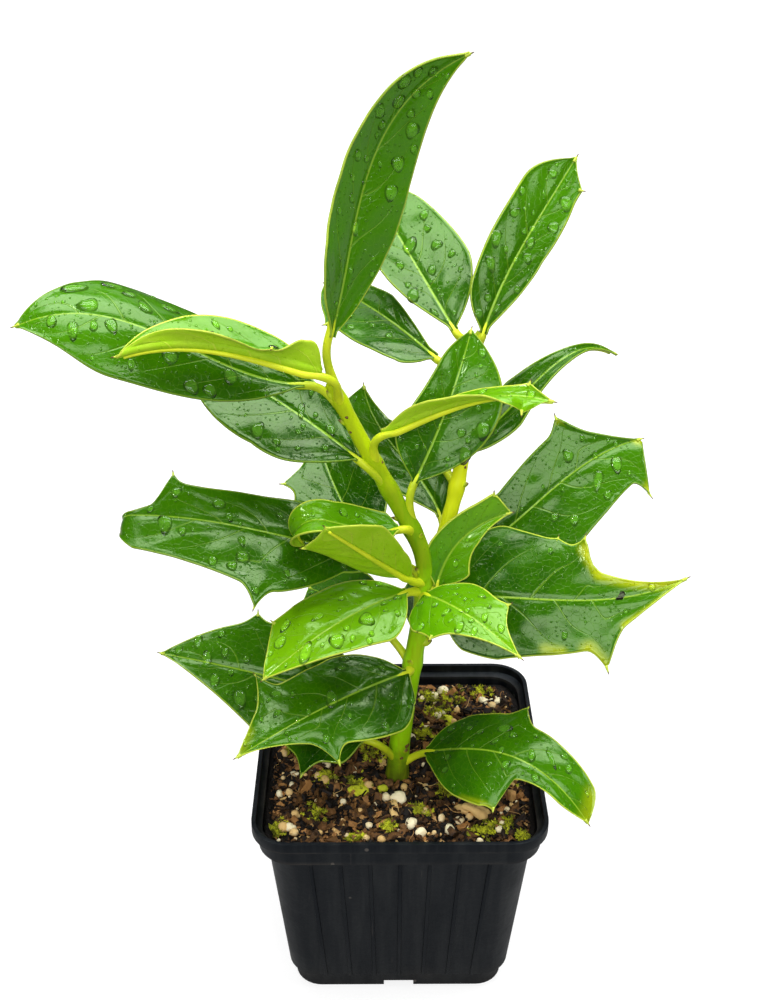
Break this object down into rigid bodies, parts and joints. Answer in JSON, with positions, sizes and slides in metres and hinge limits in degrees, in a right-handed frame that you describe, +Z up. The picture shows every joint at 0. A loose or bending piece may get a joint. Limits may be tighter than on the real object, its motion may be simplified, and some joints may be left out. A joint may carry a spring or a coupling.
{
  "type": "potted young holly plant",
  "caption": "Young evergreen holly in a square black nursery pot: a bent green stem with one side shoot and large spiny glossy leaves over bark potting mix.",
  "frame": {"origin": "middle of the pot's flat underside", "axes": "+Z up, +X to the right and -Y towards the viewer of the picture, square to the pot's sides"},
  "size_m": [0.1711, 0.1043, 0.2698],
  "materials": {
    "pot_plastic": "satin black moulded plastic with dust and fine wear",
    "potting_mix": "rough damp bark mix with pale grains and moss",
    "stem_bark": "smooth yellow-green young bark",
    "leaf_mature": "glossy dark green, wet with rain drops",
    "leaf_young": "glossy yellow-green, wet with rain drops"
  },
  "bodies": {
    "root": {"pot": "pot_plastic", "potting_mix": "potting_mix", "main_stem": "stem_bark", "side_shoot": "stem_bark", "leaf_01": "leaf_mature", "leaf_02": "leaf_mature", "leaf_03": "leaf_young", "leaf_04": "leaf_mature", "leaf_05": "leaf_mature", "leaf_06": "leaf_mature", "leaf_07": "leaf_mature", "leaf_08": "leaf_mature", "leaf_09": "leaf_young", "leaf_10": "leaf_mature", "leaf_11": "leaf_mature", "leaf_12": "leaf_mature", "leaf_13": "leaf_young", "leaf_14": "leaf_young", "leaf_15": "leaf_young", "leaf_16": "leaf_mature", "leaf_17": "leaf_mature", "leaf_18": "leaf_mature", "leaf_19": "leaf_mature", "leaf_20": "leaf_mature", "leaf_21": "leaf_mature", "leaf_22": "leaf_young", "leaf_23": "leaf_young", "leaf_24": "leaf_mature", "leaf_25": "leaf_mature", "leaf_26": "leaf_mature", "leaf_27": "leaf_mature"}
  },
  "joints": []
}
